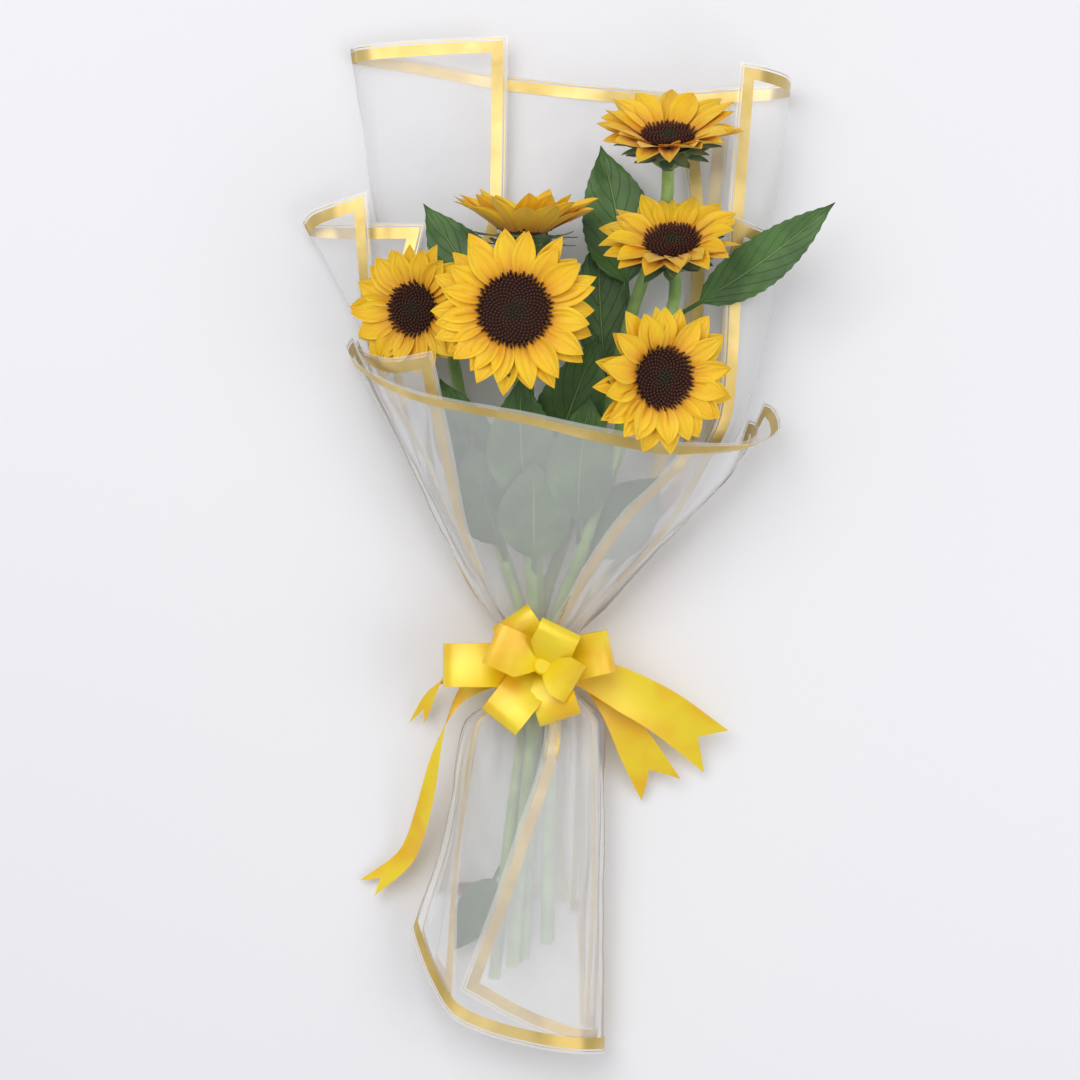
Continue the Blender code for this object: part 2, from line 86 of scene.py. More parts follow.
# Flower heads: middle of the disc's face, the way it faces, disc radius, petal length,
# how steeply the petals rise, number of petals and the stem's place in the tied bundle.
HEADS = {
    "front": ((-38, 166, 135), (0.0, 0.05, 1.0), 25.0, 36.0, 8.0, 18, 112.0),
    "left": ((-111, 169, 77), (-0.42, 0.0, 0.9), 18.0, 31.0, 10.0, 16, 184.0),
    "back": ((-31, 226, 85), (0.03, 1.0, 0.08), 18.0, 42.0, 38.0, 16, None),
    "top": ((72, 293, 78), (0.0, 0.86, 0.51), 18.0, 38.0, 24.0, 16, 256.0),
    "right": ((74, 217, 92), (-0.08, 0.8, 0.6), 19.0, 34.0, 20.0, 16, 328.0),
    "low": ((67, 118, 138), (0.4, -0.1, 0.9), 21.0, 34.0, 12.0, 16, 40.0),
}

# Leaves: the flower whose stem carries it, share of the way up that stem, the tip, blade
# width, how far the blade arches up and how far its sides are folded up.
LEAVES = {
    "far_right": ("right", 0.93, (191, 245, 84), 24.0, 3.0, 3.0),
    "behind_left": ("back", 0.86, (-104, 246, 52), 34.0, 8.0, 4.0),
    "upper_middle": ("top", 0.82, (24, 290, 22), 36.0, 2.0, 3.0),
    "middle": ("top", 0.72, (22, 226, 22), 28.0, 2.0, 2.0),
    "under_front": ("back", 0.66, (22, 150, 84), 34.0, 8.0, 4.0),
    "low_left": ("left", 0.68, (-92, 120, 62), 30.0, 6.0, 3.0),
    "low_middle": ("front", 0.66, (-34, 120, 96), 34.0, 4.0, 4.0),
    "low_right": ("low", 0.66, (16, 108, 96), 32.0, 6.0, 4.0),
    "wrap_left": ("left", 0.60, (-70, 74, 66), 32.0, 4.0, 3.0),
    "wrap_right": ("low", 0.62, (68, 50, 44), 34.0, 4.0, 3.0),
    "wrap_middle": ("front", 0.58, (-24, 62, 84), 36.0, 2.0, 3.0),
    "foot": ("left", 0.16, (-84, -296, 10), 20.0, 2.0, 2.0),
}

# Loops of the bow: way out, length, height above the band, height of the loop and upward tilt.
LOOPS = {
    "right": (12.0, 50.0, 2.0, 15.0, 10.0),
    "upper_left": (124.0, 44.0, 2.0, 15.0, 20.0),
    "left": (180.0, 70.0, 2.0, 13.0, 4.0),
    "lower_left": (232.0, 52.0, 2.0, 13.0, 14.0),
    "lower_right": (288.0, 42.0, 2.0, 15.0, 16.0),
    "upper_right": (64.0, 36.0, 15.0, 12.0, 34.0),
    "middle_left": (156.0, 44.0, 16.0, 11.0, 26.0),
    "small_right": (330.0, 30.0, 16.0, 11.0, 30.0),
}

# Tails of the bow: where each leaves the band, further points, widths, and how the end lies.
TAILS = {
    "right_upper": (48.0, [(26, -98, 48), (68, -120, 36), (108, -150, 16)],
                    [20, 32, 36, 38], (0.45, 0.8, 0.35)),
    "right_lower": (8.0, [(24, -106, 28), (50, -148, 22), (68, -178, 11)],
                    [20, 24, 30, 34], (0.8, 0.45, 0.3)),
    "left_long": (130.0, [(-74, -104, 54), (-92, -138, 50), (-104, -190, 34), (-116, -224, 18),
                          (-146, -250, 8)], [20, 18, 15, 15, 18], (0.6, -0.6, 0.5)),
    "left_short": (176.0, [(-68, -90, 24), (-92, -98, 20), (-110, -130, 9)],
                   [20, 16, 14, 14], (0.8, 0.0, 0.5)),
}

# Share of each tail's length that its swallow-tail cut takes.
TAIL_NOTCHES = {"right_upper": 0.14, "right_lower": 0.16, "left_long": 0.06, "left_short": 0.14}


# ---------------------------------------------------------------- smooth lines and surfaces

def slopes(knots, values):
    """Slopes of a curve through the values that never swings past them."""
    steps = np.diff(knots)[:, None]
    rates = np.diff(values, axis=0) / steps
    result = np.zeros_like(values)
    same_way = rates[:-1] * rates[1:] > 0
    sums = np.where(same_way, rates[:-1] + rates[1:], 1.0)
    result[1:-1] = np.where(same_way, 2 * rates[:-1] * rates[1:] / sums, 0.0)
    result[0] = rates[0]
    result[-1] = rates[-1]
    return result


def spans(points, steps):
    """Points on a smooth line through the given ones, with so many steps in each span."""
    values = np.array(points, dtype=float)
    knots = np.concatenate([[0.0], np.cumsum(np.linalg.norm(np.diff(values, axis=0), axis=1))])
    tangents = slopes(knots, values)
    result = [values[0]]
    for index, count in enumerate(steps):
        span = knots[index + 1] - knots[index]
        for t in np.linspace(0.0, 1.0, count + 1)[1:]:
            start = (1 + 2 * t) * (1 - t) ** 2 * values[index]
            start += t * (1 - t) ** 2 * span * tangents[index]
            end = t * t * (3 - 2 * t) * values[index + 1]
            end += t * t * (t - 1) * span * tangents[index + 1]
            result.append(start + end)
    return result


def through(points, count):
    """Evenly spread points on a smooth line through the given ones."""
    fine = np.array(spans(points, [8] * (len(points) - 1)))
    lengths = np.concatenate([[0.0], np.cumsum(np.linalg.norm(np.diff(fine, axis=0), axis=1))])
    places = np.linspace(0.0, lengths[-1], count)
    return [np.array([np.interp(place, lengths, fine[:, axis]) for axis in range(3)]) for place in places]


def arc(ring, level, first, last, count=9):
    """Part of a cross-section of the wrap, one level deeper for each layer of film inside it.

    The angle is 0 under the bunch, 90 at its left, 180 on top and 270 at its right.
    """
    y, left, right, low, side, high, pitch = ring
    inset = level * pitch
    middle = (left + right) / 2
    half_width = (right - left) / 2 - inset
    points = []
    for angle in np.radians(np.linspace(first, last, count)):
        rise = -math.cos(angle)
        height = high - inset - side if rise > 0 else side - low - inset
        points.append((middle - half_width * math.sin(angle), y, side + height * rise))
    return points


def rings(level, angles, stations=RINGS):
    """The same layer's arcs in every cross-section from the cone down to the skirt."""
    return [arc(ring, level, first, last) for ring, (first, last) in zip(stations, angles)]


def film_sections():
    """Cross-sections of the seven sheets of film, from rim to hem, in millimetres."""
    sheets = {}
    back = [
        [(122, 327, FILM_Z), (-43, 343, FILM_Z), (-115, 356, FILM_Z), (-150, 361, 4),
         (-160, 362, 10), (-147, 364, 17), (-107, 367, 20), (-43, 370, 22)],
        [(112, 235, FILM_Z), (0, 240, FILM_Z), (-100, 240, FILM_Z), (-133, 240, 3),
         (-142, 240, 9), (-133, 240, 14.5), (-100, 240, 17), (-45, 240, 18.5)],
        [(92, 150, FILM_Z), (0, 150, FILM_Z), (-85, 150, FILM_Z), (-118, 150, 2.5),
         (-131, 150, 8), (-129, 150, 15), (-114, 150, 20), (-94, 150, 23)],
    ]
    back += rings(0, [(-34, 68)] * 7)
    back.append([(6, -263, 0.6), (-20, -260, 0.6), (-64, -258, 0.6), (-90, -257, 5), (-97, -256, 12)])
    sheets["film_back_sheet"] = back

    left_flap = [
        [(-103, 234, 25), (-143, 234, 22), (-180, 234, 13), (-193, 235, 15),
         (-187, 242, 25), (-169, 249, 31), (-145, 257, 34)],
        [(-119, 150, 30), (-129, 150, 26), (-141, 150, 21), (-147, 150, 24),
         (-147, 150, 32), (-143, 150, 38), (-137, 150, 42)],
    ]
    left_flap += rings(3, [(80, 114)] * 7)
    left_flap.append([(-95, -300, 15), (-97, -305, 26), (-91, -316, 35), (-84, -324, 40)])
    sheets["film_left_flap_sheet"] = left_flap

    left_inner = [
        [(-153, 150, 14), (-154, 146, 30), (-146, 139, 60), (-125, 134, 91), (-97, 138, 108)],
    ]
    left_inner += rings(2, [(77, 132), (77, 128), (77, 124), (77, 122), (77, 122), (77, 124), (77, 126)])
    left_inner.append([(-105, -283, 13), (-107, -287, 27), (-97, -314, 40), (-82, -334, 46)])
    sheets["film_left_inner_sheet"] = left_inner

    right_tall = [
        [(79, 331, 3.8), (119, 334, 3.8), (150, 336, 8), (161, 337, 25),
         (157, 339, 60), (143, 342, 85), (123, 345, 95)],
        [(88, 225, 3.8), (122, 225, 4.2), (142, 225, 8), (150, 225, 28),
         (146, 225, 48), (133, 225, 57), (114, 225, 61)],
        [(84, 100, 4.6), (108, 100, 5.4), (120, 100, 9), (126, 100, 26),
         (125, 100, 46), (118, 100, 56), (106, 100, 62)],
        [(76, 55, 5.5), (93, 55, 7), (102, 55, 12), (105, 55, 27),
         (104, 55, 44), (98, 55, 55), (88, 55, 62)],
    ]
    right_tall += rings(3.5, [(318, 244)], RINGS[1:2]) + rings(3.1, [(318, 244)] * 5, RINGS[2:])
    right_tall.append([(0, -270, 13), (11, -270, 20), (13, -270, 28), (7, -270, 35)])
    sheets["film_right_tall_sheet"] = right_tall

    right_short = [
        [(118, 224, 1.9), (142, 222, 3.5), (155, 221, 26), (152, 223, 53),
         (138, 229, 63), (116, 238, 67)],
        [(100, 100, 2.2), (122, 100, 5), (131, 100, 25), (130, 100, 49),
         (123, 100, 61), (108, 100, 68)],
        [(88, 55, 3), (104, 55, 8), (110, 55, 26), (109, 55, 47), (102, 55, 60), (89, 55, 68)],
    ]
    right_short += rings(2.6, [(316, 240)], RINGS[1:2]) + rings(2.15, [(316, 240)] * 5, RINGS[2:])
    right_short.append([(7, -352, 9), (16, -353, 16), (18, -353, 27), (11, -353, 38)])
    sheets["film_right_short_sheet"] = right_short

    right_inner = [
        [(85, 75, 95), (109, 73, 82), (128, 75, 64), (138, 83, 45), (136, 90, 28), (131, 92, 16)],
    ]
    right_inner += rings(1.6, [(214, 286), (206, 287)], RINGS[:2])
    right_inner += rings(1.1, [(198, 288), (192, 290), (190, 290), (190, 290), (172, 290)], RINGS[2:])
    right_inner.append([(-78, -321, 49), (-27, -348, 52), (10, -361, 45), (23, -363, 26),
                        (20, -362, 11), (12, -361, 5)])
    sheets["film_right_inner_sheet"] = right_inner

    front = [
        [(-157, 152, 8), (-161, 145, 28), (-149, 130, 66), (-109, 110, 106), (-34, 95, 128),
         (37, 81, 124), (87, 73, 106), (130, 71, 84), (155, 86, 52), (151, 100, 26),
         (144, 104, 11)],
    ]
    front += rings(0, [(75, 285)] * 7)
    front.append([(-109, -276, 14), (-113, -279, 30), (-99, -317, 46), (-80, -343, 54),
                  (-27, -361, 57), (9, -367, 50), (28, -368, 28), (25, -368, 9)])
    sheets["film_front_sheet"] = front
    return sheets


def stem_line(head):
    """Middle line of a stem: up from its cut end, through the tie and into the calyx."""
    centre, direction, _, _, _, _, place = head
    way = Vector(direction).normalized()
    top = Vector(centre) - way * (CALYX_DEPTH + PETAL_THICKNESS / 2 + CLEARANCE + 0.1)
    neck = top - way * 14.0
    offset = Vector((0.0, 0.0))
    if place is not None:
        offset = STEM_CIRCLE * Vector((math.cos(math.radians(place)), math.sin(math.radians(place))))
    low = Vector((WAIST_X + offset.x, WAIST_Y - 10.0, WAIST_Z + offset.y))
    high = Vector((WAIST_X + offset.x, WAIST_Y + 10.0, WAIST_Z + offset.y))
    end_height = WAIST_Z - 3.0 + offset.y * 1.35
    end = Vector((WAIST_X - 12.0 + offset.x * 2.2, STEM_END_Y + offset.x * 1.5, end_height))
    shoulder = high.lerp(neck, 0.72) + Vector((0.0, 0.0, -6.0))
    return [end, low.lerp(end, 0.5), low, high, high.lerp(shoulder, 0.5), shoulder, neck, top]


def make_mesh(name, rows):
    """Quads over rows of points in millimetres, with a UV map that runs across and along."""
    width = len(rows[0])
    vertices = [Vector(point) * MM for row in rows for point in row]
    faces = []
    for row in range(len(rows) - 1):
        for column in range(width - 1):
            corner = row * width + column
            faces.append((corner, corner + 1, corner + width + 1, corner + width))
    mesh = bpy.data.meshes.new(name)
    mesh.from_pydata(vertices, [], faces)
    layer = mesh.uv_layers.new(name="UVMap")
    for loop in mesh.loops:
        row, column = divmod(loop.vertex_index, width)
        layer.data[loop.index].uv = (column / (width - 1), row / (len(rows) - 1))
    mesh.shade_smooth()
    return mesh


def join_meshes(name, meshes):
    """One mesh out of many, which keeps their UV maps and material places."""
    shape = bmesh.new()
    for mesh in meshes:
        shape.from_mesh(mesh)
        bpy.data.meshes.remove(mesh)
    joined = bpy.data.meshes.new(name)
    shape.to_mesh(joined)
    shape.free()
    joined.shade_smooth()
    return joined


def add_piece(name, mesh, materials, node):
    """A visible piece that rides with the bunch and stands for its solid."""
    for material in materials:
        mesh.materials.append(material)
    piece = bpy.data.objects.new(name, mesh)
    bpy.context.scene.collection.objects.link(piece)
    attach(piece, "root")
    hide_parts(node)
    return piece


# ---------------------------------------------------------------- shader maths

class Value:
    """A socket that holds a number, with the arithmetic that the materials use."""

    def __init__(self, maker, socket):
        self.maker = maker
        self.socket = socket

    def _math(self, operation, first, second=None):
        values = {0: first} if second is None else {0: first, 1: second}
        node = self.maker.node("ShaderNodeMath", {"operation": operation}, values)
        return Value(self.maker, node.outputs[0])

    def __add__(self, other):
        return self._math("ADD", self, other)

    __radd__ = __add__

    def __sub__(self, other):
        return self._math("SUBTRACT", self, other)

    def __rsub__(self, other):
        return self._math("SUBTRACT", other, self)

    def __mul__(self, other):
        return self._math("MULTIPLY", self, other)

    __rmul__ = __mul__

    def absolute(self):
        return self._math("ABSOLUTE", self)

    def fraction(self):
        return self._math("FRACT", self)

    def sine(self):
        return self._math("SINE", self)

    def most(self, other):
        return self._math("MAXIMUM", self, other)

    def step(self, low, high):
        """0 below low, 1 above high, smooth in between."""
        settings = {"interpolation_type": "SMOOTHSTEP"}
        node = self.maker.node("ShaderNodeMapRange", settings, {0: self, 1: low, 2: high})
        return Value(self.maker, node.outputs[0])


class Maker:
    """Builds one material's nodes."""

    def __init__(self, name):
        self.material = bpy.data.materials.new(name)
        self.material.use_nodes = True
        self.tree = self.material.node_tree
        self.shader = self.tree.nodes["Principled BSDF"]

    def node(self, kind, settings, values):
        """A node of a kind: its settings first, then its sockets' values or links."""
        node = self.tree.nodes.new(kind)
        for key, setting in settings.items():
            setattr(node, key, setting)
        for key, value in values.items():
            self.put(node.inputs[key], value)
        return node

    def put(self, socket, value):
        if isinstance(value, Value):
            self.tree.links.new(value.socket, socket)
        elif isinstance(value, bpy.types.NodeSocket):
            self.tree.links.new(value, socket)
        else:
            socket.default_value = value

    def place(self):
        """Where a point lies on its piece: across it, then along it."""
        return self.node("ShaderNodeUVMap", {"uv_map": "UVMap"}, {}).outputs[0]

    def shares(self, place):
        """Share across and share along the piece."""
        parts = self.node("ShaderNodeSeparateXYZ", {}, {0: place})
        return Value(self, parts.outputs[0]), Value(self, parts.outputs[1])

    def noise(self, scale, detail=3.0, vector=None):
        place = vector or self.node("ShaderNodeTexCoord", {}, {}).outputs["Object"]
        node = self.node("ShaderNodeTexNoise", {}, {"Vector": place, "Scale": scale, "Detail": detail})
        return Value(self, node.outputs[0])

    def stretched(self, place, scale):
        """A place with each of its axes scaled on its own."""
        node = self.node("ShaderNodeVectorMath", {"operation": "MULTIPLY"}, {0: place, 1: scale})
        return node.outputs[0]

    def mix(self, share, first, second):
        """A colour between two colours."""
        node = self.node("ShaderNodeMix", {"data_type": "RGBA"}, {0: share})
        for socket, color in ((node.inputs[6], first), (node.inputs[7], second)):
            self.put(socket, color if isinstance(color, bpy.types.NodeSocket) else (*color, 1.0))
        return node.outputs[2]

    def bump(self, height, distance, strength=1.0):
        values = {"Height": height, "Distance": distance, "Strength": strength}
        self.put(self.shader.inputs["Normal"], self.node("ShaderNodeBump", {}, values).outputs[0])

    def finish(self, **values):
        for name, value in values.items():
            socket = self.shader.inputs[name.replace("_", " ")]
            is_color = socket.type == "RGBA" and not isinstance(value, (Value, bpy.types.NodeSocket))
            self.put(socket, (*value, 1.0) if is_color else value)
        return self.material


# Three grooves run along each petal.
GROOVE_TURNS = 3 * math.tau


def petal_material(settings):
    """Yellow ray petal: deeper at its foot, with fine lengthwise grooves."""
    make = Maker("petal_yellow")
    place = make.place()
    across, along = make.shares(place)
    grooves = make.noise(9.0, 4.0, make.stretched(place, (4.0, 0.35, 1.0)))
    blotches = make.noise(45.0, 2.0)
    foot = 1 - along.step(0.02, 0.55)
    edge = ((across - 0.5).absolute() * 2).step(0.5, 1.0)
    yellow = make.mix(blotches.step(0.3, 0.7), settings.petal_color, (0.94, 0.54, 0.004))
    shaded = make.mix(foot * 0.9, yellow, settings.petal_foot_color)
    lined = make.mix(grooves.step(0.42, 0.72) * 0.55, shaded, (0.84, 0.42, 0.004))
    color = make.mix(edge * 0.25, lined, (0.96, 0.72, 0.02))
    make.bump(grooves + ((across * GROOVE_TURNS).sine() * 0.6), 0.0006, 0.7)
    return make.finish(Base_Color=color, Roughness=0.48, Subsurface_Weight=0.12,
                       Subsurface_Radius=(0.004, 0.002, 0.0005), Sheen_Weight=0.15)


def floret_material(settings):
    """Dark florets: near black at the middle, rust brown at the tips of the outer ring."""
    make = Maker("disc_florets")
    outward, up = make.shares(make.place())
    speckle = make.noise(900.0, 2.0)
    outer = make.mix(up.step(0.35, 1.0), settings.disc_color, (0.16, 0.035, 0.012))
    middle = make.mix(outward.step(0.15, 0.42), (0.035, 0.045, 0.014), outer)
    color = make.mix(speckle.step(0.55, 0.8) * 0.4, middle, (0.12, 0.05, 0.02))
    make.bump(speckle, 0.0004, 0.6)
    return make.finish(Base_Color=color, Roughness=0.85)


def green_material(name, dark, light, roughness, scale):
    """Hairy green of stems and bracts."""
    make = Maker(name)
    patches = make.noise(scale, 4.0)
    hairs = make.noise(scale * 12, 2.0)
    color = make.mix(patches.step(0.3, 0.7), dark, light)
    make.bump(hairs + patches * 2, 0.0005, 0.7)
    return make.finish(Base_Color=color, Roughness=roughness, Sheen_Weight=0.25)


def leaf_material(settings):
    """Leaf with a pale midrib and pale side veins that run forward from it."""
    make = Maker("leaf_green")
    across, along = make.shares(make.place())
    side = (across - 0.5).absolute() * 2
    rib = 1 - side.step(0.015, 0.06)
    wave = ((along * 8 - side * 2.6).fraction() - 0.5).absolute() * 2
    veins = (wave.step(0.86, 1.0) * (1 - side * 0.5)).most(rib)
    net = make.noise(260.0, 3.0)
    patches = make.noise(35.0, 3.0)
    blade = make.mix(patches.step(0.3, 0.7), settings.leaf_color, (0.085, 0.19, 0.04))
    color = make.mix(veins * 0.55, blade, (0.24, 0.38, 0.12))
    make.bump(net * 0.35 - veins * 1.4, 0.0009, 0.8)
    return make.finish(Base_Color=color, Roughness=0.5, Subsurface_Weight=0.05)


def film_material(settings):
    """Frosted film: a milky veil with soft creases, painted whiter where they rise as a painted highlight.
    """
    make = Maker("frosted_film")
    creases_and_highlight = make.noise(16.0, 5.0)
    fine = make.noise(70.0, 3.0)
    # Whiter patches where the creases rise are a painted highlight, not a tone of the film.
    color = make.mix(creases_and_highlight.step(0.3, 0.7), settings.film_color, (0.97, 0.97, 0.98))
    make.bump(creases_and_highlight + fine * 0.25, 0.004, 0.5)
    return make.finish(Base_Color=color, Roughness=0.33, Alpha=settings.film_veil, Specular_IOR_Level=0.6)


def gold_material(settings):
    """Gold print along the edges of the film, with a painted sheen of lighter gold in patches."""
    make = Maker("gold_edge")
    painted_sheen_and_relief = make.noise(24.0, 3.0)
    # The lighter gold patches are a painted sheen (painted reflection); the same noise also drives the
    # bump.
    color = make.mix(painted_sheen_and_relief.step(0.35, 0.7), settings.gold_color, (0.78, 0.60, 0.24))
    make.bump(painted_sheen_and_relief, 0.002, 0.4)
    return make.finish(Base_Color=color, Roughness=0.34, Metallic=0.55)


def satin_material(settings):
    """Yellow satin: a long soft gloss across its fine weave, with painted shade in deeper orange patches
    for its folds.
    """
    make = Maker("yellow_satin")
    weave = make.noise(30.0, 2.0, make.stretched(make.place(), (1.0, 24.0, 1.0)))
    painted_fold_shade = make.noise(28.0, 2.0)
    # Deeper orange patches are painted shade standing for the folds of the satin.
    color = make.mix(painted_fold_shade.step(0.35, 0.7), settings.satin_color, (0.90, 0.50, 0.004))
    make.bump(weave, 0.0003, 0.35)
    return make.finish(Base_Color=color, Roughness=0.26, Metallic=0.15, Specular_IOR_Level=0.8)


def twine_material():
    """Natural twine round the stems."""
    make = Maker("natural_twine")
    strands = make.noise(300.0, 3.0)
    color = make.mix(strands, (0.30, 0.22, 0.12), (0.55, 0.44, 0.27))
    make.bump(strands, 0.0006)
    return make.finish(Base_Color=color, Roughness=0.9)


# ---------------------------------------------------------------- the flowers

def petal_mesh(head, angle, length, width, rise, droop, twist, cup):
    """One ray petal: narrow foot, broad middle and a pointed tip, cupped along its length."""
    disc_radius = head[2]
    rows = []
    reach = disc_radius - 1.5
    height = -2.2
    steps = 11
    for step in range(steps):
        share = step / (steps - 1)
        slope = math.radians(rise - droop * share)
        if step:
            reach += length / (steps - 1) * math.cos(slope)
            height += length / (steps - 1) * math.sin(slope)
        profile = 0.42 + 0.58 * math.sin(math.pi * min(share * 1.02, 1.0)) ** 0.7
        taper = (1 - share ** 4) ** 0.7
        half = width / 2 * profile * taper + 0.15
        lean = math.radians(twist) * share
        row = []
        for column in range(-3, 4):
            side = column / 3
            flute = 0.5 * math.cos(side * math.pi * 2.5) * math.sin(math.pi * share)
            up = cup * side * side * half * 0.55 + flute
            offset = Vector((0, side * half * math.cos(lean), side * half * math.sin(lean) + up))
            point = Vector((reach, 0, height)) + offset
            row.append(Matrix.Rotation(angle, 3, "Z") @ point)
        rows.append(row)
    return make_mesh("petal", rows)


def head_frame(head):
    """Moves a head that is made facing up to its place in the bunch."""
    turn = Vector(head[1]).to_track_quat("Z", "Y").to_matrix().to_4x4()
    return Matrix.Translation(Vector(head[0]) * MM) @ turn


def build_petals(name, head, settings):
    """Two loose rows of petals around the disc, each a little different."""
    chance = random.Random(name)
    _, _, _, petal_length, rise, count, _ = head
    meshes = []
    for row, (lift, share, shift) in enumerate(((0.0, 1.0, 0.0), (9.0, 0.92, 0.5))):
        for index in range(count - row * 2):
            angle = math.tau * (index + shift) / (count - row * 2) + chance.uniform(-0.07, 0.07)
            length = (petal_length + 2.0) * share * chance.uniform(0.86, 1.06)
            width = settings.petal_width / MM * chance.uniform(0.85, 1.12)
            slope = rise + lift + chance.uniform(-7, 7)
            droop = chance.uniform(2, 26)
            twist = chance.uniform(-24, 24)
            cup = chance.uniform(0.2, 1.0)
            meshes.append(petal_mesh(head, angle, length, width, slope, droop, twist, cup))
    mesh = join_meshes(f"petals_{name}", meshes)
    mesh.transform(head_frame(head))
    return mesh


GOLDEN_ANGLE = math.radians(137.508)


def build_disc(name, head):
    """A dome packed with small pointed florets in a spiral, tallest near the rim."""
    chance = random.Random(name + " disc")
    disc_radius = head[2]
    shape = bmesh.new()
    layer = shape.loops.layers.uv.new("UVMap")
    count = int(disc_radius * disc_radius * 0.62)
    for index in range(count):
        share = math.sqrt((index + 0.5) / count)
        angle = index * GOLDEN_ANGLE
        radius = disc_radius * 1.02 * share
        tall = 1.6 + 4.2 * max(0.0, share - 0.42) + chance.uniform(-0.4, 0.7)
        base = Vector((radius * math.cos(angle), radius * math.sin(angle), 1.6 - 2.6 * share ** 3))
        lean = Vector((math.cos(angle), math.sin(angle), 0)) * (share ** 3) * tall * 0.8
        thick = 1.05 - 0.25 * (1 - share)
        ring = []
        neck = []
        for corner in range(5):
            turn = angle + corner * math.tau / 5
            spread = Vector((math.cos(turn), math.sin(turn), 0)) * thick
            ring.append(base + spread)
            neck.append(base + lean * 0.7 + spread * 0.75 + Vector((0, 0, tall * 0.7)))
        ring = [shape.verts.new(point * MM) for point in ring]
        neck = [shape.verts.new(point * MM) for point in neck]
        tip = shape.verts.new((base + lean + Vector((0, 0, tall))) * MM)
        for corner in range(5):
            following = (corner + 1) % 5
            wall = shape.faces.new((ring[corner], ring[following], neck[following], neck[corner]))
            point = shape.faces.new((neck[corner], neck[following], tip))
            for face, heights in ((wall, (0, 0, 0.7, 0.7)), (point, (0.7, 0.7, 1.0))):
                for loop, height in zip(face.loops, heights):
                    loop[layer].uv = (share, height)
    base = bmesh.ops.create_cone(shape, cap_ends=True, segments=32, radius1=disc_radius * 0.98 * MM,
                                 radius2=disc_radius * 0.9 * MM, depth=8 * MM,
                                 matrix=Matrix.Translation((0, 0, -3.6 * MM)))
    for vertex in base["verts"]:
        for loop in vertex.link_loops:
            loop[layer].uv = (0.6, 0.0)
    mesh = bpy.data.meshes.new(f"disc_{name}")
    shape.to_mesh(mesh)
    shape.free()
    mesh.transform(head_frame(head))
    return mesh


def build_calyx(name, head):
    """A green cup with two rows of pointed bracts behind the petals."""
    chance = random.Random(name + " calyx")
    disc_radius = head[2]
    meshes = []
    cup = [(4.6, -CALYX_DEPTH, 0), (disc_radius * 0.45, -CALYX_DEPTH + 2, 0),
           (disc_radius * 0.85, -15.5, 0), (disc_radius + 1.5, -8.0, 0), (disc_radius + 2.0, -4.0, 0)]
    turned = []
    for radius, height, _ in through(cup, 9):
        turned.append([(radius * math.cos(turn), radius * math.sin(turn), height)
                       for turn in np.linspace(0, math.tau, 33)])
    meshes.append(make_mesh("cup", turned))
    for row, (count, reach, start) in enumerate(((13, 15.0, -6.0), (11, 11.0, -12.0))):
        for index in range(count):
            angle = math.tau * (index + row * 0.5) / count + chance.uniform(-0.08, 0.08)
            length = reach + 8 + chance.uniform(-2, 4)
            rise = chance.uniform(-8, 26)
            rows = []
            for step in range(7):
                share = step / 6
                half = 5.2 * math.sin(math.pi * (0.3 + 0.7 * share)) ** 0.8 + 0.1
                radius = disc_radius - 3.0 + length * share
                height = start + math.tan(math.radians(rise)) * length * share * share * 0.5
                row_points = []
                for column in (-2, -1, 0, 1, 2):
                    point = Vector((radius, column / 2 * half, height + abs(column) * 0.35))
                    row_points.append(Matrix.Rotation(angle, 3, "Z") @ point)
                rows.append(row_points)
            meshes.append(make_mesh("bract", rows))
    mesh = join_meshes(f"calyx_{name}", meshes)
    mesh.transform(head_frame(head))
    return mesh


def build_stem(name, head, material):
    """A round stem along its middle line."""
    curve = bpy.data.curves.new(f"stem_{name}", "CURVE")
    curve.dimensions = "3D"
    curve.bevel_depth = STEM_RADIUS * MM
    curve.bevel_resolution = 4
    curve.use_fill_caps = True
    spline = curve.splines.new("POLY")
    points = spans(stem_line(head), [5, 5, 3, 5, 6, 8, 4])
    spline.points.add(len(points) - 1)
    for target, point in zip(spline.points, points):
        target.co = (*(Vector(point) * MM), 1.0)
    maker = bpy.data.objects.new("stem_line", curve)
    bpy.context.scene.collection.objects.link(maker)
    shown = maker.evaluated_get(bpy.context.evaluated_depsgraph_get())
    mesh = bpy.data.meshes.new_from_object(shown)
    bpy.data.objects.remove(maker)
    mesh.materials.clear()
    mesh.shade_smooth()
    add_piece(f"stem_{name}", mesh, [material], f"flower_{name}_stem")


# Share of a leaf that is its stalk, and the depth of the teeth along its edge.
STALK_SHARE = 0.16
TOOTH = 0.9


